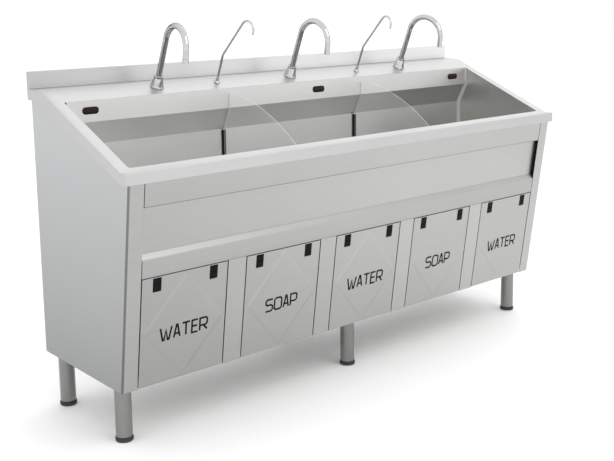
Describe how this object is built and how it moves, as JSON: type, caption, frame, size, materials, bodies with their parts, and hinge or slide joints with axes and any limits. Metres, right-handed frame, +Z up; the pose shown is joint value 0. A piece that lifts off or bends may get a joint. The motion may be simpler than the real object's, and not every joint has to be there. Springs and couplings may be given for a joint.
{
  "type": "surgical scrub sink",
  "caption": "Free-standing stainless steel scrub sink with gooseneck faucets, soap spouts, clear dividers and knee-operated front panels on round legs.",
  "frame": {"origin": "on the floor, below the middle of the sink's outline", "axes": "+X along the sink to the user's right, +Y to the wall, +Z up"},
  "size_m": [2.1, 0.636, 1.3409],
  "materials": {
    "brushed_steel": "satin brushed sheet",
    "basin_steel": "satin, duller than the outer sheets",
    "chrome": "polished",
    "black_plastic": "fine matt grain",
    "rubber": "matt",
    "sensor_glass": "dark red-black infrared window, glossy",
    "clear_panel": "clear acrylic, polished edges",
    "grey_plastic": "satin moulded",
    "tank_plastic": "milky moulded"
  },
  "bodies": {
    "cabinet": {"top_deck": "brushed_steel", "backsplash": "brushed_steel", "basin": "basin_steel", "sensor_console": "basin_steel", "sensor_window_1": "sensor_glass", "sensor_window_2": "sensor_glass", "sensor_window_3": "sensor_glass", "divider_1": "clear_panel", "divider_channel_1": "black_plastic", "divider_2": "clear_panel", "divider_channel_2": "black_plastic", "faucet_base_1": "chrome", "faucet_base_2": "chrome", "faucet_base_3": "chrome", "soap_spout_1": "chrome", "soap_spout_2": "chrome", "left_side_panel": "brushed_steel", "right_side_panel": "brushed_steel", "back_panel": "basin_steel", "bottom_panel": "basin_steel", "front_band": "brushed_steel", "front_apron": "brushed_steel", "door_post_1": "brushed_steel", "door_post_2": "brushed_steel", "door_post_3": "brushed_steel", "door_post_4": "brushed_steel", "hinge_rail": "black_plastic", "valve_bank": "basin_steel", "waste_trap": "grey_plastic", "soap_tank": "tank_plastic", "leg_front_left": "brushed_steel", "leg_front_middle": "brushed_steel", "leg_front_right": "brushed_steel", "leg_rear_left": "brushed_steel", "leg_rear_middle": "brushed_steel", "leg_rear_right": "brushed_steel"},
    "knee_panel_1": {"knee_panel_1": "brushed_steel", "hinge_strap_1": "black_plastic"},
    "valve_plunger_1": {"valve_plunger_1": "chrome"},
    "knee_panel_2": {"knee_panel_2": "brushed_steel", "hinge_strap_2": "black_plastic"},
    "valve_plunger_2": {"valve_plunger_2": "chrome"},
    "knee_panel_3": {"knee_panel_3": "brushed_steel", "hinge_strap_3": "black_plastic"},
    "valve_plunger_3": {"valve_plunger_3": "chrome"},
    "knee_panel_4": {"knee_panel_4": "brushed_steel", "hinge_strap_4": "black_plastic"},
    "valve_plunger_4": {"valve_plunger_4": "chrome"},
    "knee_panel_5": {"knee_panel_5": "brushed_steel", "hinge_strap_5": "black_plastic"},
    "valve_plunger_5": {"valve_plunger_5": "chrome"},
    "faucet_spout_1": {"faucet_spout_1": "chrome"},
    "faucet_spout_2": {"faucet_spout_2": "chrome"},
    "faucet_spout_3": {"faucet_spout_3": "chrome"},
    "foot_front_left": {"foot_front_left": "rubber"},
    "foot_front_middle": {"foot_front_middle": "rubber"},
    "foot_front_right": {"foot_front_right": "rubber"},
    "foot_rear_left": {"foot_rear_left": "rubber"},
    "foot_rear_middle": {"foot_rear_middle": "rubber"},
    "foot_rear_right": {"foot_rear_right": "rubber"}
  },
  "joints": [
    {"name": "knee_panel_1_push", "type": "hinge", "parent": "cabinet", "child": "knee_panel_1", "pos_m": [-0.8144, -0.25619, 0.53673], "axis": [1, 0, 0], "range_deg": [0, 3.5]},
    {"name": "valve_plunger_1_press", "type": "slide", "parent": "cabinet", "child": "valve_plunger_1", "axis": [0, 0.9901, 0.1406], "range_m": [0, 0.006], "stiffness_N_per_m": 150},
    {"name": "knee_panel_2_push", "type": "hinge", "parent": "cabinet", "child": "knee_panel_2", "pos_m": [-0.4072, -0.25619, 0.53673], "axis": [1, 0, 0], "range_deg": [0, 3.5]},
    {"name": "valve_plunger_2_press", "type": "slide", "parent": "cabinet", "child": "valve_plunger_2", "axis": [0, 0.9901, 0.1406], "range_m": [0, 0.006], "stiffness_N_per_m": 150},
    {"name": "knee_panel_3_push", "type": "hinge", "parent": "cabinet", "child": "knee_panel_3", "pos_m": [0, -0.25619, 0.53673], "axis": [1, 0, 0], "range_deg": [0, 3.5]},
    {"name": "valve_plunger_3_press", "type": "slide", "parent": "cabinet", "child": "valve_plunger_3", "axis": [0, 0.9901, 0.1406], "range_m": [0, 0.006], "stiffness_N_per_m": 150},
    {"name": "knee_panel_4_push", "type": "hinge", "parent": "cabinet", "child": "knee_panel_4", "pos_m": [0.4072, -0.25619, 0.53673], "axis": [1, 0, 0], "range_deg": [0, 3.5]},
    {"name": "valve_plunger_4_press", "type": "slide", "parent": "cabinet", "child": "valve_plunger_4", "axis": [0, 0.9901, 0.1406], "range_m": [0, 0.006], "stiffness_N_per_m": 150},
    {"name": "knee_panel_5_push", "type": "hinge", "parent": "cabinet", "child": "knee_panel_5", "pos_m": [0.8144, -0.25619, 0.53673], "axis": [1, 0, 0], "range_deg": [0, 3.5]},
    {"name": "valve_plunger_5_press", "type": "slide", "parent": "cabinet", "child": "valve_plunger_5", "axis": [0, 0.9901, 0.1406], "range_m": [0, 0.006], "stiffness_N_per_m": 150},
    {"name": "faucet_spout_1_swivel", "type": "hinge", "parent": "cabinet", "child": "faucet_spout_1", "pos_m": [-0.618, 0.187, 1.10906], "axis": [0, -0.389, 0.9212], "range_deg": [-53, 67]},
    {"name": "faucet_spout_2_swivel", "type": "hinge", "parent": "cabinet", "child": "faucet_spout_2", "pos_m": [0, 0.187, 1.10906], "axis": [0, -0.389, 0.9212], "range_deg": [-61, 59]},
    {"name": "faucet_spout_3_swivel", "type": "hinge", "parent": "cabinet", "child": "faucet_spout_3", "pos_m": [0.618, 0.187, 1.10906], "axis": [0, -0.389, 0.9212], "range_deg": [-68, 52]},
    {"name": "foot_front_left_level", "type": "slide", "parent": "cabinet", "child": "foot_front_left", "axis": [0, 0, -1], "range_m": [0, 0.02]},
    {"name": "foot_front_middle_level", "type": "slide", "parent": "cabinet", "child": "foot_front_middle", "axis": [0, 0, -1], "range_m": [0, 0.02]},
    {"name": "foot_front_right_level", "type": "slide", "parent": "cabinet", "child": "foot_front_right", "axis": [0, 0, -1], "range_m": [0, 0.02]},
    {"name": "foot_rear_left_level", "type": "slide", "parent": "cabinet", "child": "foot_rear_left", "axis": [0, 0, -1], "range_m": [0, 0.02]},
    {"name": "foot_rear_middle_level", "type": "slide", "parent": "cabinet", "child": "foot_rear_middle", "axis": [0, 0, -1], "range_m": [0, 0.02]},
    {"name": "foot_rear_right_level", "type": "slide", "parent": "cabinet", "child": "foot_rear_right", "axis": [0, 0, -1], "range_m": [0, 0.02]}
  ],
  "couplings": [
    {"joint": "valve_plunger_1_press", "follows": "knee_panel_1_push", "m_per_rad": 0.094},
    {"joint": "valve_plunger_2_press", "follows": "knee_panel_2_push", "m_per_rad": 0.094},
    {"joint": "valve_plunger_3_press", "follows": "knee_panel_3_push", "m_per_rad": 0.094},
    {"joint": "valve_plunger_4_press", "follows": "knee_panel_4_push", "m_per_rad": 0.094},
    {"joint": "valve_plunger_5_press", "follows": "knee_panel_5_push", "m_per_rad": 0.094}
  ]
}
